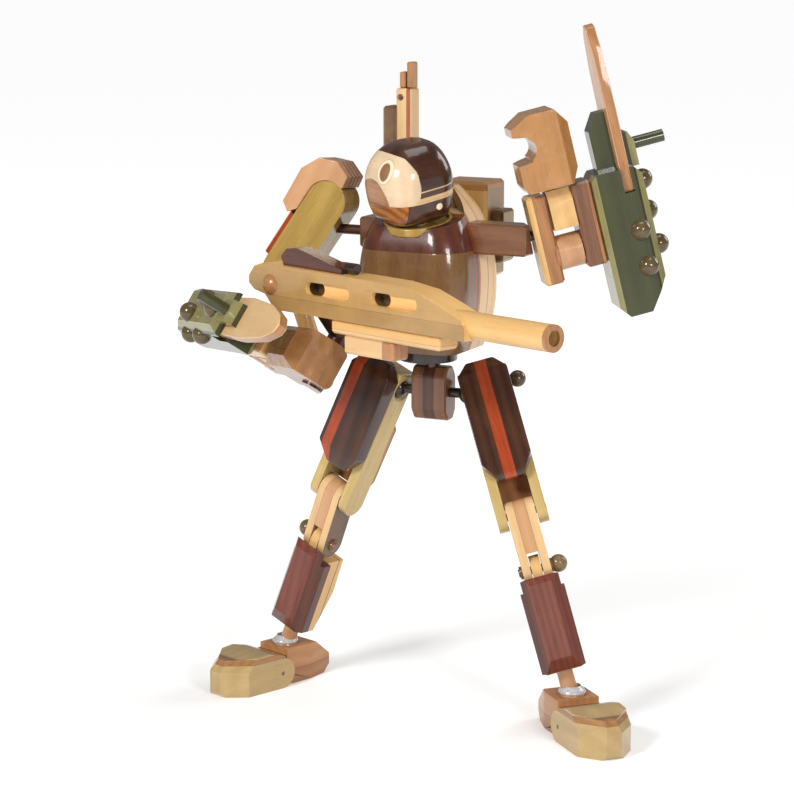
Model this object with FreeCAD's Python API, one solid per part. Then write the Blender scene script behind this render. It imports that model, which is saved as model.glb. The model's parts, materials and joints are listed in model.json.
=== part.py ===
"""Articulated wooden robot figure, standing, with a two-handed rifle prop and forearm blades.

Millimetres, +Z up.  The torso faces -Y and the figure's left is +X.  Every part is drawn
in the frame of its own limb segment, for the left side, then mirrored for the right side
and placed by the pose chain in frames().
"""

import os

import FreeCAD
import Part
from FreeCAD import Placement, Rotation, Vector

# Driving dimensions --------------------------------------------------------------------
FIT = 0.05                 # radial running clearance of pins and balls
GAP = 0.4                  # side clearance between parts that move past each other
PELVIS_Z = 160.7           # hip axis above the floor
HIP_X = 19.5               # hip ball centre from the middle
HIP_BALL_R = 5.2
HIP_DOWEL_R = 2.5
LEG_OFFSET = 9.0           # thigh centre plane outside the hip ball
THIGH_LENGTH = 65.0        # hip ball to upper knee pin
KNEE_LINK = 28.0           # upper to lower knee pin
SHANK_LENGTH = 66.0        # lower knee pin to ankle ball
ANKLE_Z = 17.0             # ankle ball above the sole
KNEE_PIN_R = 2.0
KNEE_ROUND_R = 7.0
ANKLE_DOWEL_R = 4.0
ANKLE_BALL_R = 6.5
TORSO_BASE_Z = 177.5
TORSO_BASE_THICK = 6.5
YOKE_Z = 234.0             # seam between the lower chest and the dark yoke
FRONT_BACK_Y = -12.0       # seam between the chest and the back
NECK_Y = -20.0
NECK_LEAN = 12.0           # forward lean of the neck axis, degrees
NOD_Z = 258.5              # nod pin of the head
BEAM_Z = 239.5             # shoulder beam centre height
HEAD_SEAM = 4.0            # seam between the jaw and the dome
SHOULDER_BALL_R = 5.0
ARM_BALL_X = 47.5          # left shoulder ball
UPPER_BALL_X = 29.5        # right shoulder ball, inside the beam's end
UPPER_DOWEL = 29.0         # right shoulder dowel beyond its ball
ELBOW_Z = -12.0            # elbow axis in the arm frame
ELBOW_PIN_R = 2.5
WRIST_X = 21.0
GRIP_R = 5.5
RIFLE_LENGTH = 150.0
BARREL_R = 6.3
BARREL_Z = -2.6            # barrel axis in the rifle frame

# Rest pose, degrees ----------------------------------------------------------------------
HEAD_YAW = -30.0
LEG_POSE = {
    "r": {"swing": -3.35, "spread": 22.92, "twist": -11.0, "knee_a": 9.01, "knee_b": -2.81,
          "toe": -20.0},
    "l": {"swing": -17.72, "spread": 24.41, "twist": 20.0, "knee_a": 13.71, "knee_b": 6.6,
          "toe": 47.0},
}
LEFT_ARM = (34.0, -14.0)   # turn about Z, then tilt about Y
RIFLE_POS = (-76.0, -37.6, 213.5)
RIFLE_YAW = -20.7
UPPER_TOP_R = (-53.0, -5.0, 253.0)
ELBOW_POINT_R = (-76.0, -9.0, 218.0)
ARM_ORIGIN_R = (-61.5, -12.5, 167.0)
ARM_X_R = (0.594, 0.585, -0.552)
ARM_Z_R = (0.744, -0.660, 0.102)

X = Vector(1, 0, 0)
Y = Vector(0, 1, 0)
Z = Vector(0, 0, 1)
AXES = {"X": X, "Y": Y, "Z": Z}


# Shape helpers ---------------------------------------------------------------------------
def box(x0, x1, y0, y1, z0, z1):
    return Part.makeBox(x1 - x0, y1 - y0, z1 - z0, Vector(x0, y0, z0))


def on_axis(axis, along, u, v):
    """A point at distance along the axis, with the other two coordinates in X, Y, Z order."""
    if axis == "X":
        return Vector(along, u, v)
    if axis == "Y":
        return Vector(u, along, v)
    return Vector(u, v, along)


def cyl(axis, radius, start, end, u=0.0, v=0.0):
    return Part.makeCylinder(radius, end - start, on_axis(axis, start, u, v), AXES[axis])


def ball(radius, x=0.0, y=0.0, z=0.0):
    return Part.makeSphere(radius, Vector(x, y, z))


def prism(axis, points, start, end):
    """A polygon in the two other coordinates, extruded from start to end."""
    corners = [on_axis(axis, start, u, v) for u, v in points]
    face = Part.Face(Part.makePolygon(corners + corners[:1]))
    return face.extrude(AXES[axis] * (end - start))


def taper(lower, z_lower, upper, z_upper):
    """A solid that changes from one plan polygon to another as it rises."""
    wires = []
    for points, z in ((lower, z_lower), (upper, z_upper)):
        corners = [Vector(x, y, z) for x, y in points]
        wires.append(Part.makePolygon(corners + corners[:1]))
    return Part.makeLoft(wires, True, True)


def join(*shapes):
    return shapes[0].multiFuse(list(shapes[1:])).removeSplitter()


def cut(shape, *tools):
    return shape.cut(list(tools))


def chamfer(shape, size):
    return shape.makeChamfer(size, shape.Edges)


def rounded(shape, radius):
    return shape.makeFillet(radius, shape.Edges)


def stadium(axis, u, v0, v1, radius, start, end):
    """A bar with round ends centred at (u, v0) and (u, v1)."""
    bar = prism(axis, [(u - radius, v0), (u + radius, v0), (u + radius, v1), (u - radius, v1)],
                start, end)
    return join(bar, cyl(axis, radius, start, end, u, v0), cyl(axis, radius, start, end, u, v1))


def ring_wire(half_x, y0, y1, corner, z):
    """A rounded rectangle at height z."""
    face = Part.Face(Part.makePolygon([
        Vector(-half_x, y0, z), Vector(half_x, y0, z), Vector(half_x, y1, z),
        Vector(-half_x, y1, z), Vector(-half_x, y0, z),
    ]))
    block = face.extrude(Z)
    upright = [e for e in block.Edges if abs(e.tangentAt(e.FirstParameter).z) > 0.9]
    block = block.makeFillet(corner, upright)
    bottom = min(block.Faces, key=lambda f: f.CenterOfMass.z)
    return bottom.OuterWire


def moved(shape, placement):
    placed = shape.copy()
    placed.Placement = placement.multiply(placed.Placement)
    return placed


def mirrored(shape):
    return shape.mirror(Vector(0, 0, 0), X)


# Pose chain ------------------------------------------------------------------------------
def at(x, y, z):
    return Placement(Vector(x, y, z), Rotation())


def turn(axis, degrees):
    return Placement(Vector(), Rotation(axis, degrees))


def chain(*steps):
    result = Placement()
    for step in steps:
        result = result.multiply(step)
    return result


def aligned(position, x_axis, z_axis):
    """A frame at a position from its X and approximate Z directions."""
    return Placement(Vector(*position), Rotation(Vector(*x_axis), Vector(), Vector(*z_axis), "XZY"))


def frames():
    """Placement of every limb segment in the rest pose, before the row's origin shift."""
    f = {"torso": Placement()}
    f["neck"] = chain(at(0, NECK_Y, NOD_Z), turn(X, NECK_LEAN), turn(Z, HEAD_YAW))
    f["pelvis"] = at(0, 0, PELVIS_Z)
    for side, s in (("r", -1), ("l", 1)):
        pose = LEG_POSE[side]
        f["hip_" + side] = chain(f["pelvis"], at(s * HIP_X, 0, 0), turn(X, pose["swing"]))
        f["thigh_" + side] = chain(f["hip_" + side], turn(Y, -s * pose["spread"]),
                                   turn(Z, pose["twist"]))
        f["link_" + side] = chain(
            f["thigh_" + side], at(s * LEG_OFFSET, 0, -THIGH_LENGTH), turn(X, pose["knee_a"]))
        f["shank_" + side] = chain(f["link_" + side], at(0, 0, -KNEE_LINK), turn(X, pose["knee_b"]))
        f["ankle_" + side] = chain(f["shank_" + side], at(0, 0, -SHANK_LENGTH))
        centre = f["ankle_" + side].Base
        f["foot_" + side] = chain(at(centre.x, centre.y, ANKLE_Z), turn(Z, pose["toe"]))
    f["shoulder_l"] = chain(at(ARM_BALL_X, -5, BEAM_Z), turn(Z, LEFT_ARM[0]), turn(Y, LEFT_ARM[1]))
    f["upper_ball"] = at(-UPPER_BALL_X, -5, BEAM_Z)
    elbow = Vector(*ELBOW_POINT_R)
    top = Vector(*UPPER_TOP_R)
    down = elbow - top
    f["upper_arm"] = aligned(tuple(top), tuple(down.cross(Y)), tuple(down * -1))
    drop = Vector(*ARM_ORIGIN_R) - elbow
    pin_axis = f["upper_arm"].Rotation.multVec(Y)
    f["elbow_link"] = Placement(elbow, Rotation(Vector(), pin_axis, drop * -1, "YZX"))
    f["shoulder_r"] = aligned(ARM_ORIGIN_R, ARM_X_R, ARM_Z_R)
    f["rifle"] = chain(at(*RIFLE_POS), turn(Z, RIFLE_YAW))
    return f


# Torso -----------------------------------------------------------------------------------
def torso_parts(f):
    sections = [(23, -29, 16, 9, TORSO_BASE_Z + TORSO_BASE_THICK), (28, -34, 21, 12, 203),
                (29, -35, 22, 14, 220),
                (27.5, -34, 21, 14, 234), (24, -31, 20, 13, 245), (17, -22, 17, 10, 256),
                (10, -10, 13, 7, 263)]
    bell = Part.makeLoft([ring_wire(*s) for s in sections], True, False)
    base = cut(cyl("Z", 14.5, TORSO_BASE_Z, TORSO_BASE_Z + TORSO_BASE_THICK, 0, -6),
               cyl("Z", 3.5 + FIT, TORSO_BASE_Z - 1, TORSO_BASE_Z + 8))
    pocket = cyl("Z", 3.5 + FIT, TORSO_BASE_Z + 3, 197.3)
    neck_bore = moved(cyl("Z", 5 + FIT, -27, 0), f["neck"])
    head_room = join(moved(cyl("Z", 22.5, -10.2, 60), f["neck"]),
                     moved(cyl("Z", 17, -14.4, 0), f["neck"]))
    beam_slot = box(-60, 60, -12, 2, BEAM_Z - 7.5, BEAM_Z + 7.5)
    bell = cut(bell, pocket, neck_bore, head_room)
    chest = cut(bell.common(box(-60, 60, -60, FRONT_BACK_Y, 100, YOKE_Z)), beam_slot)
    yoke = cut(bell.common(box(-60, 60, -60, FRONT_BACK_Y, YOKE_Z, 300)), beam_slot)
    back = cut(bell.common(box(-60, 60, FRONT_BACK_Y, 60, 100, 300)), beam_slot)
    ring = rounded(cyl("Z", 17, -14.4, -10.2), 0.8)
    collar = moved(cut(ring, cyl("Z", 15.2, -12.2, -5), cyl("Z", 5 + FIT, -20, 0)),
                   f["neck"]).cut(beam_slot)
    return {"torso_chest": chest, "torso_yoke": yoke, "torso_back": back, "torso_base": base,
            "collar": collar, "shoulder_beam": shoulder_beam(f),
            "backpack": cut(backpack(), bell), "cannon": cannon()}


def shoulder_beam(f):
    beam = chamfer(box(-35, 54, -12, 2, BEAM_Z - 7.5, BEAM_Z + 7.5), 1.0)
    neck_bore = moved(cyl("Z", 5 + FIT, -27, 0), f["neck"])
    tools = [neck_bore]
    for frame, s in ((f["shoulder_l"], 1), (f["upper_ball"], -1)):
        tools.append(moved(ball(SHOULDER_BALL_R + FIT), frame))
        tools.append(moved(Part.makeCone(1.0, 6.5, 7.4, Vector(s * 0.6, 0, 0), X * s), frame))
    tools.append(moved(box(5.2, 40, -30, 30, -30, 30), f["shoulder_l"]))
    return cut(beam, *tools)


def backpack():
    pack = chamfer(box(-4, 22, 14, 37, 216, 264), 1.5)
    cheek = chamfer(box(22, 29, 18, 33, 224, 250), 1.2)
    mount = chamfer(box(-39, -4, 16, 33, 222, 246), 1.2)
    return join(pack, cheek, mount)


def cannon():
    guard = chamfer(box(-38, -31, 20, 32, 246, 299), 1.2)
    board = chamfer(box(-31, -22.5, 21, 31, 246, 308), 0.9)
    tip_a = chamfer(box(-30, -26.8, 23, 29, 308, 316), 0.6)
    tip_b = chamfer(box(-26, -22.5, 23, 29, 308, 321), 0.6)
    return cut(join(guard, board, tip_a, tip_b), cyl("Y", 1.7, 20, 40, -28.4, 303.5))


# Head, drawn about the nod pin ---------------------------------------------------------------
def head_parts():
    sections = [(9, -11, 9, 7, -9.6), (16, -20, 14, 11, -5), (18.5, -22, 15.5, 13.5, 2),
                (19, -22.5, 16, 14, 11),
                (17, -20, 14, 13, 20), (12, -14, 10, 9.5, 26.5), (5, -6, 4, 3.5, 29)]
    skull = Part.makeLoft([ring_wire(*s) for s in sections], True, False)
    hollow = join(box(-5.7, 5.7, -7.5, 7.5, -12, 1), cyl("X", 7.5, -5.7, 5.7, 0, 0))
    pin = cyl("X", KNEE_PIN_R, -17.5, 17.5)
    body = cut(skull, hollow)
    visor_zone = prism("X", [(-30, 3), (-13, 3), (-10, 6), (-9, 11), (-9.5, 18), (-12, 25),
                             (-16, 27.5), (-30, 27.5)], -30, 30)
    jaw = body.common(box(-40, 40, -40, 40, -30, HEAD_SEAM)).cut(visor_zone)
    visor = body.common(visor_zone)
    dome = body.common(box(-40, 40, -40, 40, HEAD_SEAM, 60)).cut(visor_zone)
    jaw = join(jaw, pin)
    return {"head_jaw": jaw, "head_visor": visor, "head_dome": dome}


def neck_post():
    post = join(cyl("Z", 5, -26.5, 0), ball(5))
    return cut(post, cyl("X", KNEE_PIN_R + FIT, -10, 10))


# Pelvis ------------------------------------------------------------------------------------
def pelvis_block():
    block = prism("X", [(-6.2, -9), (-3, -14), (3, -14), (6.2, -9), (6.2, 8), (3, 13), (-3, 13),
                        (-6.2, 8)],
                  -9.5, 9.5)
    dowel = cyl("Z", 3.5, 10, 36)
    bores = [cyl("X", HIP_DOWEL_R + FIT, 2.7, 12), cyl("X", HIP_DOWEL_R + FIT, -12, -2.7)]
    return cut(join(chamfer(block, 0.8), dowel), *bores)


# Leg, left side ------------------------------------------------------------------------------
def hip_axle():
    return join(cyl("X", HIP_DOWEL_R, -16.5, 0), ball(HIP_BALL_R))


def thigh_fork():
    inner = -3.5
    outer = 21.5
    head = rounded(box(inner, outer, -7, 7, -46, 9), 1.2)
    prongs = [stadium("X", 0, -THIGH_LENGTH, -40, KNEE_ROUND_R, a, b)
              for a, b in ((inner, inner + 5), (outer - 5, outer))]
    pin = cyl("X", KNEE_PIN_R, inner, outer, 0, -THIGH_LENGTH)
    knob = join(cyl("X", 2.5, outer - 1, outer + 2, 0, 1), ball(4.2, outer + 3.5, 0, 1))
    mouth = Part.makeCone(0.5, 9.9, 7.5, Vector(1.0, 0, 0), X * -1)
    sweep = cyl("X", KNEE_ROUND_R + 1, inner + 5, outer - 5, 0, -THIGH_LENGTH)
    room = join(sweep, box(inner + 5, outer - 5, -8, 8, -THIGH_LENGTH - 8, -THIGH_LENGTH + 8))
    solid = join(cut(join(head, *prongs), room), pin, knob)
    return cut(solid, ball(HIP_BALL_R + FIT), mouth)


def thigh_armor():
    outline = [(-3.5, -40), (2.5, -49), (15.5, -49), (21.5, -40), (21.5, 5), (16, 12), (2, 12),
               (-3.5, 5)]
    side = [(-7, 12), (-12, 12), (-16, 6), (-16, -40), (-12, -49), (-7, -49)]
    return prism("Y", outline, -16, -7).common(prism("X", side, -4, 22))


def thigh_rear():
    outline = [(0.5, -60), (17.5, -60), (19.5, -54), (19.5, -24), (14, -18), (4, -18),
               (-1.5, -24), (-1.5, -54)]
    return prism("Y", outline, 7, 12.5)


def knee_link():
    ears = [stadium("X", 0, -KNEE_LINK, 0, KNEE_ROUND_R, a, b)
            for a, b in ((-7.1, -2.5 - GAP), (2.5 + GAP, 7.1))]
    plate = prism("X", [(-7, -19.5), (7, -19.5), (7, 0), (-7, 0)], -2.95, 2.95)
    hub = cyl("X", KNEE_ROUND_R, -2.95, 2.95)
    pin = cyl("X", KNEE_PIN_R, -9, 9, 0, -KNEE_LINK)
    plug = cyl("X", 3.2, -8.4, -7, 0, -KNEE_LINK)
    knob = join(cyl("X", 3.4, 7, 9, 0, -KNEE_LINK), ball(4.4, 11, 0, -KNEE_LINK))
    return cut(join(*ears, plate, hub, pin, plug, knob), cyl("X", KNEE_PIN_R + FIT, -12, 12))


def calf():
    tongue = stadium("X", 0, -12, 0, KNEE_ROUND_R, -2.5, 2.5)
    board = prism("X", [(-1, -9.6), (11, -9.6), (12, -30), (6, -52), (-1, -52)], -9, 9)
    solid = join(tongue, board)
    bore = cyl("Z", ANKLE_DOWEL_R + FIT, -70, -36)
    return cut(solid, cyl("X", KNEE_PIN_R + FIT, -4, 4), bore)


def shin_armor():
    section = [(-11, -1), (-11, -6), (-5.5, -13), (5.5, -13), (11, -6), (11, -1)]
    side = [(-1, -10), (-7.8, -10), (-7.8, -3), (-10.5, -2), (-13, -5), (-13, -43), (-9, -50), (-1, -50)]
    solid = prism("Z", section, -60, 0).common(prism("X", side, -12, 12))
    tongue_room = box(-3, 3, -8, 8, -20, 9)
    return cut(solid, cyl("Z", ANKLE_DOWEL_R + FIT, -70, -36), tongue_room)


def ankle_pin():
    return join(cyl("Z", ANKLE_DOWEL_R, 0, 29.5), ball(ANKLE_BALL_R))


def heel_block():
    side = [(-14, -17), (20, -17), (25, -13), (25, -7), (13, 2), (-8, 2), (-8, -1), (-14, -1)]
    plan = [(-11, -23), (11, -23), (11, 8), (6.5, 26), (-6.5, 26), (-11, 8)]
    solid = join(prism("X", side, -11, 11), cyl("X", 8, -11, 11, -14, -9))
    solid = solid.common(prism("Z", plan, -18, 4))
    return cut(solid, ball(ANKLE_BALL_R + FIT), cyl("X", KNEE_PIN_R + FIT, -12, 12, -14, -9))


def toe_shell():
    side = [(-14, -17), (-46, -17), (-48, -15), (-48, 1), (-24, 3), (-14, 0.5)]
    plan = [(-14, -2), (-14, -37), (-4, -48), (4, -48), (14, -37), (14, -2)]
    crown = [(-14, -2), (-14, -31.5), (-2.5, -44), (2.5, -44), (14, -31.5), (14, -2)]
    solid = join(prism("X", side, -14, 14), cyl("X", 8, -14, 14, -14, -9))
    envelope = join(prism("Z", plan, -18, -4), taper(plan, -4, crown, 1), prism("Z", crown, 1, 4))
    solid = solid.common(envelope)
    room = join(cyl("X", 8.5, -11.4, 11.4, -14, -9), box(-11.4, 11.4, -14, 0, -18, 4))
    pin = cyl("X", KNEE_PIN_R, -14, 14, -14, -9)
    return join(cut(solid, room), pin)


def leg_parts():
    return {"hip_axle": (hip_axle(), "hip"), "thigh_fork": (thigh_fork(), "thigh"),
            "thigh_armor": (thigh_armor(), "thigh"), "thigh_rear": (thigh_rear(), "thigh"),
            "knee_link": (knee_link(), "link"), "calf": (calf(), "shank"),
            "shin_armor": (shin_armor(), "shank"), "ankle_pin": (ankle_pin(), "ankle"),
            "heel_block": (heel_block(), "foot"), "toe_shell": (toe_shell(), "foot")}


# Arm unit, left side, drawn about the shoulder ball --------------------------------------------
def shoulder_ball():
    return join(ball(SHOULDER_BALL_R), cyl("X", 2.5, 0, 15.0))


def arm_board():
    board = chamfer(box(6.8, 16.5, -7, 7, -25, 19), 1.2)
    barrel = stadium("X", 0, ELBOW_Z, ELBOW_Z + 1, 8.0, 15, 28.5)
    bores = [cyl("X", 2.5 + FIT, 6, 15.4), cyl("X", ELBOW_PIN_R + FIT, 8, 30, 0, ELBOW_Z)]
    return cut(join(board, barrel), *bores)


def forearm_boards():
    boards = chamfer(box(28.9, 39, -8, 8, -21, 20.4), 1.0)
    wrist = prism("X", [(-8, 0.5), (8, 0.5), (8, 13), (5, 19.6), (-5, 19.6), (-8, 13)], 16.9, 29)
    wrist = cut(wrist, cyl("X", 9.6, 16, 28.9, 0, ELBOW_Z + 1))
    pin = cyl("X", ELBOW_PIN_R, 9, 30, 0, ELBOW_Z)
    bore = cyl("Z", 2.5 + FIT, 8, 24, WRIST_X, 0)
    return cut(join(boards, wrist, pin), bore)


def fist():
    outline = [(9, 21), (31, 21), (35, 28), (35, 50), (29, 58), (16, 58), (7, 53), (7, 49), (14, 48),
               (14, 36), (7, 35), (7, 25)]
    body = prism("Y", outline, -11, 11)
    plan = [(6, -8), (10, -11), (30, -11), (36, -6), (36, 6), (30, 11), (10, 11), (6, 8)]
    body = body.common(prism("Z", plan, 20, 60))
    peg = cyl("Z", 2.5, 9, 22, WRIST_X, 0)
    return join(cut(body, cyl("Y", GRIP_R, -12, 12, 11.5, 42)), peg)


def gauntlet():
    outline = [(39, -44), (43, -49), (54, -49), (64.5, -34), (64.5, 17), (60, 22), (42, 22), (39, 19)]
    shell = prism("Y", outline, -12, 12)
    plan = [(38, -9), (41, -12), (60, -12), (65, -8), (65, 8), (60, 12), (41, 12), (38, 9)]
    shell = shell.common(prism("Z", plan, -50, 23))
    fin_in = prism("Y", [(44, 21), (53.5, 21), (53.5, 50), (49, 50), (44, 42)], -5, 5)
    fin_out = prism("Y", [(58.5, 21), (64.5, 21), (64.5, 33), (62, 38), (58.5, 38)], -6, 6)
    peg = cyl("X", 3, 63, 80, 0, 31)
    blade_slot = box(53.5, 58.5, -13, 13, 10, 60)
    return cut(join(shell, fin_in, fin_out, peg), blade_slot)


def blade():
    outline = [(-10, 10), (10, 10), (11, 40), (8.5, 70), (4, 86), (-1, 92), (-5, 90), (-9, 78),
               (-11, 50)]
    return prism("X", outline, 53.5, 58.5)


def studs():
    spots = [(57, -11.5, -9), (57, -11.5, -27), (65.5, 0, 13), (65.5, 4, -3), (65.5, -4, -19)]
    shapes = []
    for x, y, z in spots:
        shapes.append(ball(5, x, y, z))
    return Part.makeCompound(shapes)


def arm_parts():
    shell = gauntlet()
    knobs = studs()
    shell = cut(shell, knobs)
    return {"shoulder_ball": (shoulder_ball(), "shoulder"), "arm_board": (arm_board(), "shoulder"),
            "forearm_boards": (forearm_boards(), "shoulder"), "fist": (fist(), "shoulder"),
            "gauntlet": (shell, "shoulder"), "blade": (blade(), "shoulder"),
            "studs": (knobs, "shoulder")}


# Right upper arm, drawn in the row frame ------------------------------------------------------
def upper_arm_parts(f):
    frame = f["upper_arm"]
    length = (f["elbow_link"].Base - frame.Base).Length
    block = stadium("Y", 0, -length, 0, 10.5, -9, 9)
    block = cut(block, box(-12, 12, -4.4, 4.4, -length - 12, -length + 11))
    pin = cyl("Y", KNEE_PIN_R, -9, 9, 0, -length)
    inlay = prism("Z", [(-10.5, -6), (-14.5, -4.5), (-14.5, 4.5), (-10.5, 6)], -length + 1, -16)
    pad = prism("Y", [(-19, -13), (-14, -16), (-10.6, -12), (-9, 0), (0, 9), (4, 11), (3, 17),
                      (-6, 20), (-15, 16), (-20, 6)], -10, 10)
    pad = cut(pad, stadium("Y", 0, -length, 0, 10.5, -11, 11))
    dowel_end = -UPPER_BALL_X - UPPER_DOWEL
    bore = cyl("X", 2.5 + FIT, dowel_end - 0.3, 0, -5, BEAM_Z)
    block = cut(moved(join(block, pin), frame), bore)
    return {"upper_arm": block, "upper_arm_inlay": moved(inlay, frame),
            "shoulder_pad": moved(pad, frame)}


def upper_ball():
    return join(ball(SHOULDER_BALL_R, -UPPER_BALL_X, -5, BEAM_Z),
                cyl("X", 2.5, -UPPER_BALL_X - UPPER_DOWEL, -UPPER_BALL_X, -5, BEAM_Z))


def elbow_link(f):
    frame = f["elbow_link"]
    arm = f["shoulder_r"]
    socket_local = frame.inverse().multVec(arm.Base)
    inner_local = frame.inverse().multVec(arm.multVec(Vector(8, 0, 0)))
    tongue = cyl("Y", 8.0, -4.0, 4.0)
    bar_dir = inner_local * -1
    bar = Part.makeCylinder(4.6, inner_local.Length, inner_local, bar_dir)
    tongue_bar = bar.common(box(-10, 10, -4, 4, -20, 5))
    bar = bar.common(box(-40, 40, -20, 20, -90, -13))
    foot = join(ball(4.6, inner_local.x, inner_local.y, inner_local.z),
                Part.makeCylinder(7.6, 9, inner_local, socket_local - inner_local))
    solid = cut(join(tongue, tongue_bar, bar, foot), cyl("Y", KNEE_PIN_R + FIT, -10, 10))
    solid = moved(solid, frame)
    face = moved(box(-30, -3.4, -30, 10.5, -40, 40), arm)
    socket = moved(ball(SHOULDER_BALL_R + FIT), arm)
    mouth = moved(Part.makeCone(1.0, 6.6, 6.6, Vector(-0.6, 0, 0), X * -1), arm)
    return cut(solid, face, socket, mouth)


# Rifle, muzzle along +X, viewer's side -Y -------------------------------------------------------
def rifle_parts(f):
    frame = f["rifle"]
    arm = f["shoulder_r"]
    outline = [(0, 2.5), (0, 6), (4, 11), (10, 13), (100, 12), (118, 10), (134, 5), (148, 0),
               (RIFLE_LENGTH, -4),
               (RIFLE_LENGTH, -9), (19, -9), (12, -2), (4, -0.5)]
    body = prism("Y", outline, -8, 8)
    for start in (42, 88):
        body = cut(body, slot(start, start + 31, 4.0, 2.5), slot(start, start + 11, 4.0, 8.0))
    rivet = ball(6, 16, -5, 3).common(box(0, 40, -20, -7.9, -10, 20))
    barrel = cut(cyl("X", BARREL_R, 128, 198, 0, BARREL_Z), cyl("X", 3.6, 170, 199, 0, BARREL_Z))
    body = join(cut(body, cyl("X", BARREL_R, 128, 160, 0, BARREL_Z)), rivet)
    rail = chamfer(box(58, 132, -6.5, 6.5, -16, -9), 1.2)
    magazine = chamfer(box(66, 100, -5.5, 5.5, -25, -16), 1.0)
    scope = prism("Y", [(22, 12.9), (64, 12.3), (64, 14.5), (32, 22), (24, 21), (20, 17)], -4.5, 4.5)
    scope = join(scope, cyl("X", 2.6, 60, 70, 0, 15.2))
    scope = cut(scope, body)
    post = cyl("Y", GRIP_R - FIT, -12, 18, -11.5, 42)
    top = arm.multVec(Vector(-11.5, 18, 42))
    root = frame.multVec(Vector(45, 0, -5))
    neck = Part.makeCylinder(5.0, (root - top).Length, top, root - top)
    grip = join(moved(post, arm), moved(ball(5.45, -11.5, 18, 42), arm), neck)
    placed = {"rifle_body": body, "rifle_rail": rail, "rifle_magazine": magazine, "rifle_scope": scope,
              "rifle_barrel": barrel}
    placed = {name: moved(shape, frame) for name, shape in placed.items()}
    placed["rifle_grip"] = cut(grip, placed["rifle_body"])
    return placed


def slot(x0, x1, z, depth):
    """A round-ended slot sunk into the side plate."""
    return stadium_x(x0 + 3.2, x1 - 3.2, z, 3.2, -9, -8 + depth)


def stadium_x(x0, x1, z, radius, y0, y1):
    bar = box(x0, x1, y0, y1, z - radius, z + radius)
    return join(bar, cyl("Y", radius, y0, y1, x0, z), cyl("Y", radius, y0, y1, x1, z))


# Assembly --------------------------------------------------------------------------------------
def build():
    f = frames()
    nodes = dict(torso_parts(f))
    for name, shape in head_parts().items():
        nodes[name] = moved(shape, f["neck"])
    nodes["neck_post"] = moved(neck_post(), f["neck"])
    nodes["pelvis_block"] = moved(pelvis_block(), f["pelvis"])
    for units in (leg_parts(), arm_parts()):
        for name, (shape, segment) in units.items():
            nodes[name + "_l"] = moved(shape, f[segment + "_l"])
            nodes[name + "_r"] = moved(mirrored(shape), f[segment + "_r"])
    nodes.update(upper_arm_parts(f))
    nodes["upper_ball"] = upper_ball()
    nodes["elbow_link"] = elbow_link(f)
    nodes.update(rifle_parts(f))
    return nodes


def origin_shift(nodes):
    """The move that puts the row's origin at the middle of the bounding box, on the floor."""
    bounds = FreeCAD.BoundBox()
    for shape in nodes.values():
        bounds.add(shape.optimalBoundingBox(False))
    return Vector(-bounds.Center.x, -bounds.Center.y, -bounds.ZMin)


def main():
    nodes = build()
    shift = at(*origin_shift(nodes))
    os.makedirs("parts", exist_ok=True)
    for name, shape in nodes.items():
        moved(shape, shift).exportStep("parts/" + name + ".step")


if __name__ == "__main__":
    main()
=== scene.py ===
"""Looks of the articulated wooden robot figure: lacquered hardwoods, inlays and studio."""

import itertools
import json
import math

import bmesh
import bpy
from mathutils import Matrix, Vector


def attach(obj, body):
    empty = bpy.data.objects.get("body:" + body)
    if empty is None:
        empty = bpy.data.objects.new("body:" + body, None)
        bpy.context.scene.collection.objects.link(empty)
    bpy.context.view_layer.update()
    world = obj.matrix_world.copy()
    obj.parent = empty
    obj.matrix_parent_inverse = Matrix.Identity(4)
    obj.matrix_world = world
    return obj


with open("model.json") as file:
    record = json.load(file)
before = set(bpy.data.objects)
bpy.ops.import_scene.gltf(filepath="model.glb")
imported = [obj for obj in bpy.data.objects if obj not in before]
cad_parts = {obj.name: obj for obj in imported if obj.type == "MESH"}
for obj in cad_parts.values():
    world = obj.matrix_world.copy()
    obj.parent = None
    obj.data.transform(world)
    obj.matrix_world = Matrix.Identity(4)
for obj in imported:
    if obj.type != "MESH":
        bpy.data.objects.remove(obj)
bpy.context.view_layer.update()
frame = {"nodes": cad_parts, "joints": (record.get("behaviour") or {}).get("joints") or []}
NODES = frame["nodes"]
JOINTS = {j["name"]: j for j in frame["joints"]}
MM = 0.001
SIDES = (("l", 1), ("r", -1))


# Segment frames, from the joints -------------------------------------------------------
# Woods, inlays and new pieces are laid out in the frame of the segment they belong to, so a
# mirrored limb is described once and grain follows the limb.
def pivot(name):
    return Vector(JOINTS[name]["pos_m"])


def axis(name):
    return Vector(JOINTS[name]["axis"]).normalized()


def basis(origin, x, z):
    """A frame with X exact and Z as near as it can be."""
    x = x.normalized()
    y = z.cross(x).normalized()
    z = x.cross(y)
    m = Matrix((x, y, z)).transposed().to_4x4()
    m.translation = origin
    return m


Y = Vector((0, 1, 0))
Z = Vector((0, 0, 1))
WAIST = pivot("waist_turn")
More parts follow.
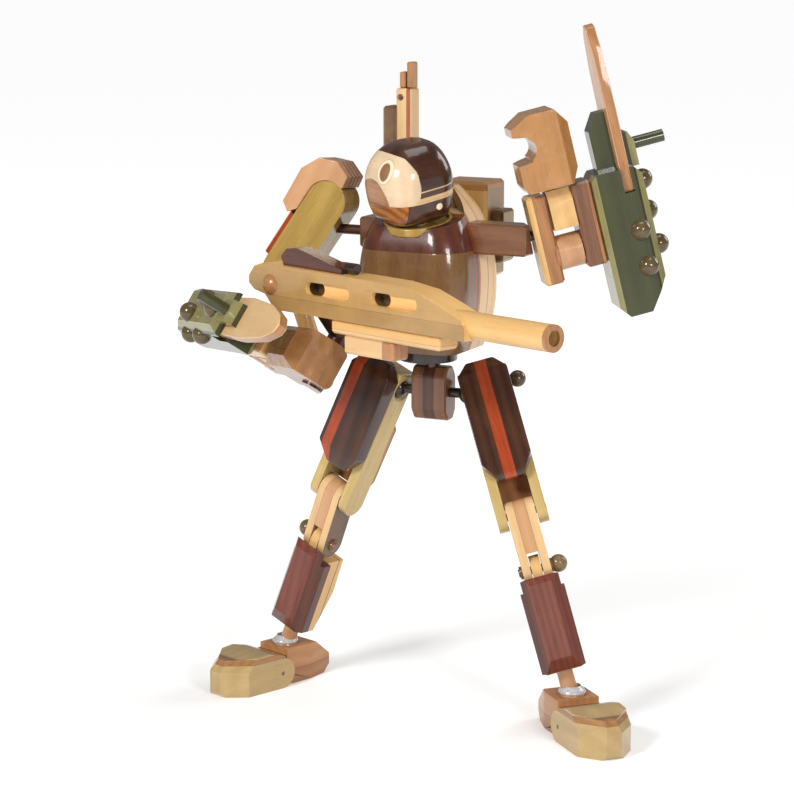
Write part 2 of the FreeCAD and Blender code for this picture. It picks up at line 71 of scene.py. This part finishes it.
# Top of the right upper arm, its way down, and the link below it.
UPPER_TOP = Vector((WAIST.x - 53 * MM, WAIST.y - 5 * MM, 253 * MM))
UPPER_DOWN = pivot("mid_elbow_r") - UPPER_TOP
LINK_UP = pivot("mid_elbow_r") - pivot("arm_tilt_r")
RIFLE_PLACE = (WAIST.x - 76.0 * MM, WAIST.y - 37.6 * MM, 213.5 * MM)
RIFLE_YAW = math.radians(-20.7)
HIP_TO_FORK = 9 * MM
FRAMES = {
    "torso": Matrix.Translation((WAIST.x, WAIST.y, 0)),
    "neck": basis(pivot("head_nod"), axis("head_nod"), axis("neck_turn")),
    "pelvis": Matrix.Translation(WAIST),
    "upper_arm": basis(UPPER_TOP, UPPER_DOWN.cross(Y), -UPPER_DOWN),
    "elbow_link": basis(pivot("mid_elbow_r"), axis("mid_elbow_r").cross(LINK_UP), LINK_UP),
    "rifle": Matrix.Translation(RIFLE_PLACE) @ Matrix.Rotation(RIFLE_YAW, 4, "Z"),
    "arm_l": basis(pivot("shoulder_turn_l"), axis("shoulder_turn_l"), axis("wrist_l")),
    "arm_r": basis(pivot("arm_turn_r"), axis("arm_turn_r"), axis("wrist_r")),
}
for side, s in SIDES:
    hip = pivot("hip_swing_" + side)
    knee = pivot("knee_upper_" + side)
    shin = pivot("knee_lower_" + side)
    knee_axis = axis("knee_upper_" + side)
    FRAMES["thigh_" + side] = basis(hip, knee_axis, hip + knee_axis * s * HIP_TO_FORK - knee)
    FRAMES["link_" + side] = basis(knee, knee_axis, knee - shin)
    FRAMES["shank_" + side] = basis(shin, axis("knee_lower_" + side), axis("ankle_turn_" + side))
    FRAMES["foot_" + side] = basis(pivot("ankle_tilt_" + side), axis("ankle_tilt_" + side), Z)


# Woods ---------------------------------------------------------------------------------
# Each row: light, dark and pore colour, ring spacing in mm, ring contrast, pore strength,
# roughness.
WOODS = {
    "walnut": ((.080, .028, .013), (.018, .006, .004), (.006, .002, .002), 5.0, .95, .85, .17),
    "walnut_red": ((.120, .036, .020), (.040, .011, .007), (.010, .004, .003), 4.5, .7, .75, .17),
    "maple": ((.700, .440, .175), (.490, .275, .095), (.320, .160, .055), 9.0, .45, .35, .28),
    "maple_pale": ((.700, .470, .240), (.490, .290, .125), (.360, .200, .090), 7.0, .50, .35, .30),
    "maple_bright": ((.800, .640, .440), (.700, .520, .330), (.560, .390, .230), 8.0, .30, .15, .30),
    "rifle_maple": ((.790, .490, .185), (.620, .345, .110), (.420, .210, .065), 9.0, .45, .45, .26),
    "pink": ((.560, .310, .155), (.360, .175, .080), (.260, .120, .055), 4.5, .55, .40, .30),
    "teak_dark": ((.210, .090, .040), (.095, .036, .017), (.040, .015, .008), 5.0, .7, .65, .22),
    "olive_pale": ((.540, .395, .160), (.360, .245, .085), (.210, .135, .045), 6.0, .65, .40, .20),
    "padauk": ((.400, .060, .013), (.230, .024, .007), (.090, .009, .004), 4.5, .5, .6, .22),
    "mahogany": ((.205, .050, .028), (.085, .018, .011), (.030, .008, .005), 3.2, .8, .80, .26),
    "olive": ((.440, .290, .070), (.250, .150, .032), (.130, .075, .020), 5.0, .75, .50, .20),
    "olive_dark": ((.270, .170, .048), (.130, .075, .022), (.060, .033, .011), 5.0, .75, .50, .18),
    "chest": ((.210, .112, .042), (.088, .038, .016), (.036, .015, .007), 13.0, .40, .65, .13),
    "teak": ((.400, .180, .065), (.210, .082, .028), (.095, .036, .013), 3.6, .75, .65, .24),
    "saddle": ((.500, .245, .100), (.320, .135, .050), (.220, .090, .035), 3.6, .65, .50, .28),
    "burl": ((.440, .215, .070), (.260, .108, .030), (.120, .044, .013), 9.0, .45, .40, .20),
    "face_burl": ((.480, .180, .048), (.075, .022, .010), (.022, .007, .004), 2.4, 1.0, .85, .16),
    "fist_burl": ((.390, .190, .068), (.190, .080, .028), (.085, .034, .012), 8.0, .50, .40, .22),
    "olive_toe": ((.520, .370, .165), (.330, .215, .086), (.190, .115, .045), 6.0, .55, .45, .24),
    "visor_maple": ((.660, .495, .325), (.490, .350, .220), (.330, .225, .135), 5.0, .50, .60, .30),
    "green": ((.058, .060, .017), (.020, .022, .008), (.007, .008, .003), 11.0, .45, .55, .14),
    "green_pale": ((.300, .270, .110), (.170, .150, .056), (.080, .070, .025), 8.0, .5, .40, .18),
    "ebony": ((.036, .022, .016), (.014, .009, .007), (.005, .003, .003), 3.0, .6, .5, .16),
    "stud": ((.130, .090, .036), (.055, .036, .016), (.022, .014, .007), 6.0, .5, .3, .05),
    "amber": ((.360, .165, .055), (.190, .076, .025), (.075, .030, .011), 3.0, .7, .4, .16),
}

RING_STRETCH, FIBRE_STRETCH = 0.12, 0.035   # scale along the grain, against 1 across it
WAVE_PER_MM = 0.314                         # wave texture scale for one ring per millimetre
RING_SHARE, FIGURE_SHARE, FIBRE_SHARE = 0.45, 0.35, 0.3   # of a wood's light and dark
FACETS_PER_MM = 0.14
FACET_BUMP, FACET_DEPTH = 0.55, 1.2 * MM
GRAIN_BUMP, GRAIN_DEPTH = 0.12, 0.2 * MM
UNEVEN_GLOSS = 0.14
LACQUER = (("Specular IOR Level", 0.22), ("Coat Weight", 0.5), ("Coat Roughness", 0.07), ("Coat IOR", 1.5))
# Seed offsets, so that a second wood in a material never repeats the first one's grain.
LAYER_SEED, OVAL_SEED, BLOCK_SEED = 40, 60, 80
GLUE, GLUE_LINE, GLUE_STRENGTH = (.03, .015, .008), 0.12, 0.55
RIM, RIM_LINE, RIM_STRENGTH = (.05, .022, .010), 0.05, 0.5
FRONT = -8.5                                # ovals are let in only in front of this Y, in mm
SHADE = 0.28                                # how far slow patches darken a wood


class Graph:
    """A material's node tree with short helpers."""

    def __init__(self, name):
        self.mat = bpy.data.materials.new(name)
        self.mat.use_nodes = True
        self.nt = self.mat.node_tree
        self.nt.nodes.clear()
        self.out = self.nt.nodes.new("ShaderNodeOutputMaterial")
        self.bsdf = self.nt.nodes.new("ShaderNodeBsdfPrincipled")
        self.link(self.bsdf.outputs[0], self.out.inputs[0])

    def link(self, a, b):
        self.nt.links.new(a, b)

    def new(self, kind, **settings):
        node = self.nt.nodes.new(kind)
        for key, value in settings.items():
            setattr(node, key, value)
        return node

    def put(self, socket, value):
        if isinstance(value, bpy.types.NodeSocket):
            self.link(value, socket)
        else:
            socket.default_value = value

    def math(self, operation, a, b=0.0, c=0.0):
        node = self.new("ShaderNodeMath", operation=operation)
        for socket, value in zip(node.inputs, (a, b, c)):
            self.put(socket, value)
        return node.outputs[0]

    def mix(self, factor, a, b):
        """A blend of two colours, each a socket or an RGB triple."""
        node = self.new("ShaderNodeMix", data_type="RGBA")
        self.put(node.inputs[0], factor)
        for socket, colour in zip(node.inputs[6:8], (a, b)):
            self.put(socket, (*colour, 1) if isinstance(colour, tuple) else colour)
        return node.outputs[2]

    def local(self, matrix):
        """Coordinates in a segment's frame, in millimetres."""
        coord = self.new("ShaderNodeTexCoord")
        back = self.new("ShaderNodeMapping", vector_type="TEXTURE")
        back.inputs["Location"].default_value = matrix.translation
        back.inputs["Rotation"].default_value = matrix.to_euler()
        back.inputs["Scale"].default_value = (MM, MM, MM)
        self.link(coord.outputs["Object"], back.inputs[0])
        return back.outputs[0]

    def stretch(self, vector, grain, along, offset):
        """Coordinates drawn out along the grain."""
        node = self.new("ShaderNodeMapping", vector_type="POINT")
        scale = [1.0, 1.0, 1.0]
        scale["XYZ".index(grain)] = along
        node.inputs["Scale"].default_value = scale
        node.inputs["Location"].default_value = offset
        self.link(vector, node.inputs[0])
        return node.outputs[0]

    def noise(self, vector, scale, detail, rough, distortion=0.0):
        node = self.new("ShaderNodeTexNoise")
        node.inputs["Scale"].default_value = scale
        node.inputs["Detail"].default_value = detail
        node.inputs["Roughness"].default_value = rough
        node.inputs["Distortion"].default_value = distortion
        self.link(vector, node.inputs["Vector"])
        return node.outputs[0]

    def ramp(self, value, low, high):
        """0 at low, 1 at high, held beyond both."""
        node = self.new("ShaderNodeMapRange")
        node.clamp = True
        node.inputs["From Min"].default_value = low
        node.inputs["From Max"].default_value = high
        self.link(value, node.inputs["Value"])
        return node.outputs[0]

    def wood(self, vector, kind, grain, seed):
        """Colour and relief of one wood: growth rings, fibres, figure and open pores."""
        light, dark, pore, spacing, contrast, pores, rough = WOODS[kind]
        offset = (seed * 17.3 % 91, seed * 31.7 % 83, seed * 47.9 % 97)
        body = self.stretch(vector, grain, RING_STRETCH, offset)
        fine = self.stretch(vector, grain, FIBRE_STRETCH, offset)
        wave = self.new("ShaderNodeTexWave", wave_type="BANDS", wave_profile="SIN")
        wave.bands_direction = {"X": "Y", "Y": "X", "Z": "X"}[grain] if seed % 2 else "DIAGONAL"
        wave.inputs["Scale"].default_value = WAVE_PER_MM / spacing
        wave.inputs["Distortion"].default_value = 5.0
        wave.inputs["Detail"].default_value = 3.0
        wave.inputs["Detail Scale"].default_value = 0.35
        self.link(body, wave.inputs[0])
        figure = self.noise(body, 0.11, 3.0, 0.6, 0.8)
        fibre = self.noise(fine, 1.3, 5.0, 0.7)
        streak = self.noise(fine, 2.6, 2.0, 0.5)
        rings = self.math("MULTIPLY_ADD", wave.outputs[1], contrast * 0.45, 0.5 - contrast * 0.22)
        tone = self.math("ADD", self.math("MULTIPLY", rings, RING_SHARE),
                         self.math("MULTIPLY", figure, FIGURE_SHARE))
        tone = self.math("ADD", tone, self.math("MULTIPLY", fibre, FIBRE_SHARE))
        colour = self.mix(self.ramp(tone, 0.30, 0.74), dark, light)
        dots = self.math("MULTIPLY", self.ramp(streak, 0.60, 0.72), pores)
        colour = self.mix(dots, colour, pore)
        return colour, fibre, dots, rough

    def carve(self, vector):
        """Knife facets: a coarse bump under the fibre bump."""
        cells = self.new("ShaderNodeTexVoronoi", feature="F1")
        cells.inputs["Scale"].default_value = FACETS_PER_MM
        self.link(vector, cells.inputs["Vector"])
        return self.bump(cells.outputs["Distance"], FACET_BUMP, FACET_DEPTH)

    def bump(self, height, strength, depth, under=None):
        """A normal from a height, over another normal where there is one."""
        node = self.new("ShaderNodeBump")
        node.inputs["Strength"].default_value = strength
        node.inputs["Distance"].default_value = depth
        self.link(height, node.inputs["Height"])
        if under:
            self.link(under, node.inputs["Normal"])
        return node.outputs[0]

    def finish(self, colour, fibre, dots, rough, under):
        """Lacquered wood: the colour, an uneven gloss, a clear coat and the relief."""
        b = self.bsdf
        self.link(colour, b.inputs["Base Color"])
        self.link(self.math("MULTIPLY_ADD", fibre, UNEVEN_GLOSS, rough), b.inputs["Roughness"])
        for socket, value in LACQUER:
            b.inputs[socket].default_value = value
        relief = self.math("SUBTRACT", fibre, dots)
        self.link(self.bump(relief, GRAIN_BUMP, GRAIN_DEPTH, under), b.inputs["Normal"])
        return self.mat


SEEDS = itertools.count(1)


def wood_material(name, kind, segment, grain, layers=(), ovals=(), blocks=()):
    """One wood, a lamination or an inlaid face.

    A layer is (axis, centre, half thickness, wood), an oval on the front is (plane, centre, centre,
    half size, half size, wood) and a block is (centre, half sizes, wood), all in millimetres.
    """
    seed = next(SEEDS)
    g = Graph("wood_" + name)
    local = g.local(FRAMES[segment])
    colour, fibre, dots, rough = g.wood(local, kind, grain, seed)
    split = g.new("ShaderNodeSeparateXYZ")
    g.link(local, split.inputs[0])
    place = dict(zip("XYZ", split.outputs))
    for i, (along, centre, half, other) in enumerate(layers):
        second = g.wood(local, other, grain, seed + LAYER_SEED + i)[0]
        colour = g.mix(g.math("COMPARE", place[along], centre, half), colour, second)
        depth = g.math("ABSOLUTE", g.math("SUBTRACT", place[along], centre))
        edge = g.math("COMPARE", depth, half, GLUE_LINE)
        colour = g.mix(g.math("MULTIPLY", edge, GLUE_STRENGTH), colour, GLUE)
    front = g.math("LESS_THAN", place["Y"], FRONT)
    for i, (plane, a, b, half_a, half_b, other) in enumerate(ovals):
        second = g.wood(local, other, grain, seed + OVAL_SEED + i)[0]
        across = g.math("DIVIDE", g.math("SUBTRACT", place[plane[0]], a), half_a)
        along = g.math("DIVIDE", g.math("SUBTRACT", place[plane[1]], b), half_b)
        reach = g.math("ADD", g.math("MULTIPLY", across, across), g.math("MULTIPLY", along, along))
        inside = g.math("MULTIPLY", g.math("LESS_THAN", reach, 1.0), front)
        colour = g.mix(inside, colour, second)
        rim = g.math("MULTIPLY", g.math("COMPARE", reach, 1.0, RIM_LINE), front)
        colour = g.mix(g.math("MULTIPLY", rim, RIM_STRENGTH), colour, RIM)
    for i, (centre, half, other) in enumerate(blocks):
        second = g.wood(local, other, grain, seed + BLOCK_SEED + i)[0]
        inside = 1.0
        for k in range(3):
            inside = g.math("MULTIPLY", g.math("COMPARE", split.outputs[k], centre[k], half[k]), inside)
        colour = g.mix(inside, colour, second)
    shade = g.ramp(g.noise(local, 0.07, 3.0, 0.6), 0.25, 0.75)
    colour = g.mix(g.math("MULTIPLY_ADD", shade, -SHADE, SHADE), colour, WOODS[kind][1])
    under = g.carve(local) if name.startswith("fist") else None
    return g.finish(colour, fibre, dots, rough, under)


WELD_GAP = 0.02 * MM
BEVEL_ANGLE = math.radians(28)


def soften(obj, width):
    """Rounded edges, as sanded wood has."""
    weld = obj.modifiers.new("weld", "WELD")
    weld.merge_threshold = WELD_GAP
    bevel = obj.modifiers.new("bevel", "BEVEL")
    bevel.width = width * MM
    bevel.segments = 2
    bevel.limit_method = "ANGLE"
    bevel.angle_limit = BEVEL_ANGLE
    bevel.harden_normals = True
    obj.modifiers.new("normals", "WEIGHTED_NORMAL").keep_sharp = True


def dress(node, material, width):
    """Give a CAD node its wood and its softened edges."""
    obj = NODES[node]
    obj.data.materials.clear()
    obj.data.materials.append(material)
    for poly in obj.data.polygons:
        poly.material_index = 0
        poly.use_smooth = True
    if width:
        soften(obj, width)


# Each row: node, wood, segment, grain, layers, bevel width in mm.
PIECES = [
    ("torso_chest", "chest", "torso", "Z", (("Y", -12.8, 0.8, "padauk"),), 0.3),
    ("torso_yoke", "walnut_red", "torso", "Z", (("Y", -12.8, 0.8, "padauk"),), 0.3),
    ("torso_back", "maple_pale", "torso", "Z",
     (("Y", -10.6, 1.4, "walnut_red"), ("Y", -8.4, 0.5, "padauk"), ("Y", 1.0, 0.3, "teak"),
      ("Y", 9.5, 2.2, "maple")), 0.3),
    ("torso_base", "ebony", "torso", "X", (), 0.6),
    ("collar", "olive", "neck", "X", (), 0.4),
    ("shoulder_beam", "teak_dark", "torso", "X", (), 0.4),
    ("backpack", "maple", "torso", "Z",
     (("X", 25.5, 3.4, "walnut"), ("Z", 263.0, 3.2, "burl"), ("X", -14.0, 0.4, "padauk")), 0.5),
    ("cannon", "maple_pale", "torso", "Z",
     (("X", -35.0, 4.0, "walnut"), ("X", -24.2, 0.9, "padauk"), ("Z", 316.0, 8.0, "teak")), 0.4),
    ("neck_post", "maple", "neck", "Z", (), 0.3),
    ("head_dome", "walnut", "neck", "Y",
     (("Z", 5.0, 1.0, "maple_pale"), ("Z", 8.9, 0.4, "maple_pale")), 0.3),
    ("head_visor", "visor_maple", "neck", "X", (), 0.3),
    ("head_jaw", "face_burl", "neck", "X",
     (("Y", 34.5, 50.0, "walnut"), ("Z", 4.5, 1.5, "maple_pale")), 0.3),
    ("pelvis_block", "teak_dark", "pelvis", "Z", (("X", 0.0, 3.0, "walnut"),), 0.4),
    ("upper_arm", "olive", "upper_arm", "Z", (), 1.6),
    ("upper_arm_inlay", "padauk", "upper_arm", "Z", (("X", -14.4, 0.5, "maple"),), 0.5),
    ("shoulder_pad", "pink", "upper_arm", "Z",
     (("Y", 8.2, 0.5, "walnut"), ("Y", 4.4, 0.5, "walnut"), ("Y", 0.4, 0.5, "walnut"),
      ("Y", -3.6, 0.5, "walnut")), 1.2),
    ("upper_ball", "walnut", "torso", "X", (), 0.2),
    ("elbow_link", "maple", "elbow_link", "Z", (), 0.4),
    ("rifle_body", "rifle_maple", "rifle", "X",
     (("Z", -5.6, 3.6, "maple"), ("Y", -13.1, 5.0, "amber")), 0.9),
    ("rifle_rail", "maple", "rifle", "X", (("Z", -15.0, 1.2, "maple_pale"),), 0.5),
    ("rifle_magazine", "maple_pale", "rifle", "X", (("X", 97.5, 4.5, "teak"),), 0.6),
    ("rifle_scope", "walnut_red", "rifle", "X", (("X", 69.5, 6.0, "ebony"),), 1.2),
    ("rifle_barrel", "maple", "rifle", "X", (("X", 198.0, 1.6, "teak"),), 0.35),
    ("rifle_grip", "walnut", "rifle", "Z", (), 0.3),
]
for side, s in SIDES:
    left = side == "l"
    PIECES += [
        ("hip_axle_" + side, "ebony", "pelvis", "X", (), 0.2),
        ("thigh_fork_" + side, "olive_pale", "thigh_" + side, "Z",
         (("X", s * 31.7, 10.0, "ebony"), ("X", s * 9.0, 3.0, "maple")), 0.6),
        ("thigh_armor_" + side, "walnut", "thigh_" + side, "Z",
         (("X", 9.0 if left else -16.5, 3.0, "padauk"),), 0.7),
        ("thigh_rear_" + side, "teak", "thigh_" + side, "Z", (), 0.6),
        ("knee_link_" + side, "maple_pale", "link_" + side, "Z",
         (("X", 0.0, 2.95, "pink"), ("X", s * 17.2, 10.0, "stud"), ("X", s * -12.1, 5.0, "walnut_red")), 0.6),
        ("calf_" + side, "maple", "shank_" + side, "Z", (("Y", 8.0, 0.3, "teak"),), 0.6),
        ("shin_armor_" + side, "mahogany", "shank_" + side, "Z", (("X", s * -10.0, 3.0, "walnut_red"),), 0.6),
        ("ankle_pin_" + side, "pink", "shank_" + side, "Z", (), 0.2),
        ("heel_block_" + side, "saddle", "foot_" + side, "Y",
         (("Z", -14.0, 5.0, "teak"), ("Y", -9.2, 0.45, "walnut")), 0.7),
        ("toe_shell_" + side, "olive_toe", "foot_" + side, "Y", (("Z", 0.4, 1.3, "teak"),), 0.7),
        ("shoulder_ball_" + side, "walnut", "arm_" + side, "X", (), 0.2),
        ("arm_board_" + side, "teak", "arm_" + side, "Z",
         (("X", s * 22.6, 6.0, "pink"), ("X", s * 8.2, 1.5, "maple")), 0.6),
        ("forearm_boards_" + side, "teak_dark" if left else "maple", "arm_" + side, "Z",
         (("X", s * 22.9, 6.0, "maple"), ("X", s * 37.8, 1.3, "teak")), 0.6),
        ("fist_" + side, "burl" if left else "fist_burl", "arm_" + side, "Z", (), 1.2),
        ("gauntlet_" + side, "green", "arm_" + side, "Z",
         (("X", s * 39.5, 2.0, "green_pale"), ("X", s * 63.0, 1.9, "green_pale")), 0.9),
        ("blade_" + side, "pink" if left else "maple_pale", "arm_" + side, "Z",
         (("X", s * 56.0, 1.8, "teak"),), 0.8),
        ("studs_" + side, "stud", "arm_" + side, "Z", (), 0.0),
    ]
# The burl panel at the mouth, then the round inlay: its pale ring and its dark middle.
OVALS = {"head_visor": (("XZ", -3.0, 2.0, 12.0, 12.5, "face_burl"),
                        ("XZ", 5.5, 19.0, 5.0, 5.4, "maple_bright"),
                        ("XZ", 5.5, 19.0, 3.2, 4.0, "teak_dark"))}
# The dark end of each slot in the rifle.
SLOT_STARTS = (42.0, 88.0)
BLOCKS = {"rifle_body": [((start + 5.5, -2.0, 4.0), (6.2, 3.4, 3.2), "ebony") for start in SLOT_STARTS]}
for node, kind, segment, grain, layers, width in PIECES:
    material = wood_material(node, kind, segment, grain, layers, OVALS.get(node, ()), BLOCKS.get(node, ()))
    dress(node, material, width)


# New pieces ----------------------------------------------------------------------------
PLUG_SIDES, SLEEVE_SIDES = 32, 48


def mesh_object(name, bm, segment, body, material):
    """A piece from a bmesh in millimetres in its segment's frame."""
    mesh = bpy.data.meshes.new(name)
    bmesh.ops.scale(bm, vec=(MM, MM, MM), verts=bm.verts)
    bmesh.ops.transform(bm, matrix=FRAMES[segment], verts=bm.verts)
    bmesh.ops.recalc_face_normals(bm, faces=bm.faces)
    bm.to_mesh(mesh)
    bm.free()
    for poly in mesh.polygons:
        poly.use_smooth = True
    obj = bpy.data.objects.new(name, mesh)
    bpy.context.scene.collection.objects.link(obj)
    obj.data.materials.append(material)
    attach(obj, body)
    return obj


def lathe(profile, count):
    """A turned solid: profile is (radius, height) pairs about Z, count the number of sides."""
    bm = bmesh.new()
    rows = []
    for radius, height in profile:
        if radius < 1e-6:
            rows.append([bm.verts.new((0, 0, height))])
            continue
        rows.append([bm.verts.new((radius * math.cos(a), radius * math.sin(a), height))
                     for a in (2 * math.pi * i / count for i in range(count))])
    for low, high in zip(rows, rows[1:]):
        for i in range(count):
            j = (i + 1) % count
            ring = [low[i % len(low)], low[j % len(low)], high[j % len(high)], high[i % len(high)]]
            unique = list(dict.fromkeys(ring))
            if len(unique) > 2:
                bm.faces.new(unique)
    return bm


def aimed(bm, place, direction):
    """Turn a piece built about Z to point along a direction, then move it."""
    turn = Vector(direction).to_track_quat("Z", "Y").to_matrix().to_4x4()
    bmesh.ops.transform(bm, matrix=Matrix.Translation(place) @ turn, verts=bm.verts)
    return bm


def plug(name, segment, body, place, direction, radius, kind):
    """The domed end of a dowel, level with the face it comes out of."""
    profile = [(0, -1.2), (radius, -1.2), (radius, 0.06), (radius * 0.85, 0.20), (radius * 0.4, 0.28),
               (0, 0.30)]
    material = wood_material(name, kind, segment, "X")
    bm = aimed(lathe(profile, PLUG_SIDES), place, direction)
    return mesh_object(name, bm, segment, body, material)


def sleeve_material():
    """The milky clear film between an ankle ball and its socket."""
    g = Graph("sleeve_film")
    b = g.bsdf
    cloud = g.noise(g.local(FRAMES["pelvis"]), 0.35, 3.0, 0.6)
    g.link(g.mix(cloud, (.62, .60, .62), (.86, .85, .86)), b.inputs["Base Color"])
    g.link(g.math("MULTIPLY_ADD", cloud, 0.25, 0.12), b.inputs["Roughness"])
    b.inputs["Transmission Weight"].default_value = 0.45
    b.inputs["IOR"].default_value = 1.35
    b.inputs["Coat Weight"].default_value = 0.8
    return g.mat


FILM = sleeve_material()
# Radius and height in mm round the ankle ball, up the outside and down the inside.
SLEEVE = [(6.05, 2.75), (6.15, 2.75), (6.75, 3.0), (6.72, 3.6), (6.35, 4.3), (5.6, 5.1), (4.7, 5.9),
          (4.35, 6.6), (4.1, 6.6), (4.2, 5.7), (5.2, 4.6), (5.85, 3.6), (6.05, 2.75)]
for side, s in SIDES:
    thigh, foot, toe = "thigh_" + side, "foot_" + side, "toe_" + side
    plug("nod_plug_" + side, "neck", "head", (s * 18.15, 1.0, -0.5), (s, 0, 0), 1.7, "maple_bright")
    plug("toe_plug_" + side, foot, toe, (14, -14, -9), (1, 0, 0), 1.1, "olive_dark")
    plug("toe_cap_" + side, foot, toe, (-14, -14, -9), (-1, 0, 0), 1.1, "olive_dark")
    plug("knee_plug_" + side, thigh, thigh, (s * 21.5, 0, -65), (s, 0, 0), 2.4, "walnut")
    mesh_object("ankle_sleeve_" + side, lathe(SLEEVE, SLEEVE_SIDES), foot, "ankle_" + side, FILM)


# Camera, light and floor -----------------------------------------------------------------
FLOOR_HALF = 25.0
FLOOR_GLOW = (0.20, 0.58)   # emission under the figure, and what is added far from it
GLOW_REACH = (0.15, 1.3)    # metres from the middle between which the glow rises
WORLD_LIGHT = 0.22
MIDDLE = Vector((WAIST.x, WAIST.y, 0.17))
# Each row: lamp, place from the middle of the figure in m, size in m, power in W.
LAMPS = (("key", (-0.30, -1.10, 0.62), 0.36, 13.5), ("fill", (0.95, -0.75, 0.40), 0.30, 6.5),
         ("top", (0.1, 0.1, 1.1), 0.6, 4.0), ("rim", (0.6, 0.8, 0.5), 0.5, 4.0))


def add_facing(obj, target):
    """Put a lamp or the camera in the scene, turned to its target."""
    obj.rotation_euler = (target - obj.location).to_track_quat("-Z", "Y").to_euler()
    bpy.context.scene.collection.objects.link(obj)


def white_floor():
    """White paper that glows more away from the figure, so that only soft shadows show."""
    bm = bmesh.new()
    bmesh.ops.create_grid(bm, x_segments=1, y_segments=1, size=FLOOR_HALF)
    mesh = bpy.data.meshes.new("floor")
    bm.to_mesh(mesh)
    bm.free()
    floor = bpy.data.objects.new("floor", mesh)
    bpy.context.scene.collection.objects.link(floor)
    g = Graph("floor_paper")
    g.bsdf.inputs["Base Color"].default_value = (0.85, 0.85, 0.85, 1)
    g.bsdf.inputs["Roughness"].default_value = 0.8
    g.bsdf.inputs["Emission Color"].default_value = (1.0, 1.0, 1.0, 1)
    coord = g.new("ShaderNodeTexCoord")
    reach = g.new("ShaderNodeVectorMath", operation="LENGTH")
    g.link(coord.outputs["Object"], reach.inputs[0])
    far = g.ramp(reach.outputs["Value"], *GLOW_REACH)
    near_glow, rise = FLOOR_GLOW
    g.link(g.math("MULTIPLY_ADD", far, rise, near_glow), g.bsdf.inputs["Emission Strength"])
    mesh.materials.append(g.mat)


def lights():
    world = bpy.data.worlds.new("studio")
    bpy.context.scene.world = world
    world.use_nodes = True
    back = world.node_tree.nodes["Background"]
    back.inputs[0].default_value = (1.0, 1.0, 1.0, 1)
    back.inputs[1].default_value = WORLD_LIGHT
    for name, place, size, power in LAMPS:
        data = bpy.data.lights.new(name, "AREA")
        data.energy = power
        data.size = size
        lamp = bpy.data.objects.new(name, data)
        lamp.location = MIDDLE + Vector(place)
        add_facing(lamp, MIDDLE)


CAMERA_TARGET = Vector((WAIST.x - 0.01969, WAIST.y - 0.00074, 0.156))
AZIMUTH, ELEVATION = math.radians(26.0), math.radians(10.74)
DISTANCE = 1.3
SENSOR, LENS = 36.0, 117.9


def camera():
    back = Vector((math.sin(AZIMUTH) * math.cos(ELEVATION), -math.cos(AZIMUTH) * math.cos(ELEVATION),
                   math.sin(ELEVATION)))
    data = bpy.data.cameras.new("camera")
    data.sensor_width = SENSOR
    data.lens = LENS
    obj = bpy.data.objects.new("camera", data)
    obj.location = CAMERA_TARGET + back * DISTANCE
    add_facing(obj, CAMERA_TARGET)
    bpy.context.scene.camera = obj
    bpy.context.scene.view_settings.view_transform = "Standard"


white_floor()
lights()
camera()
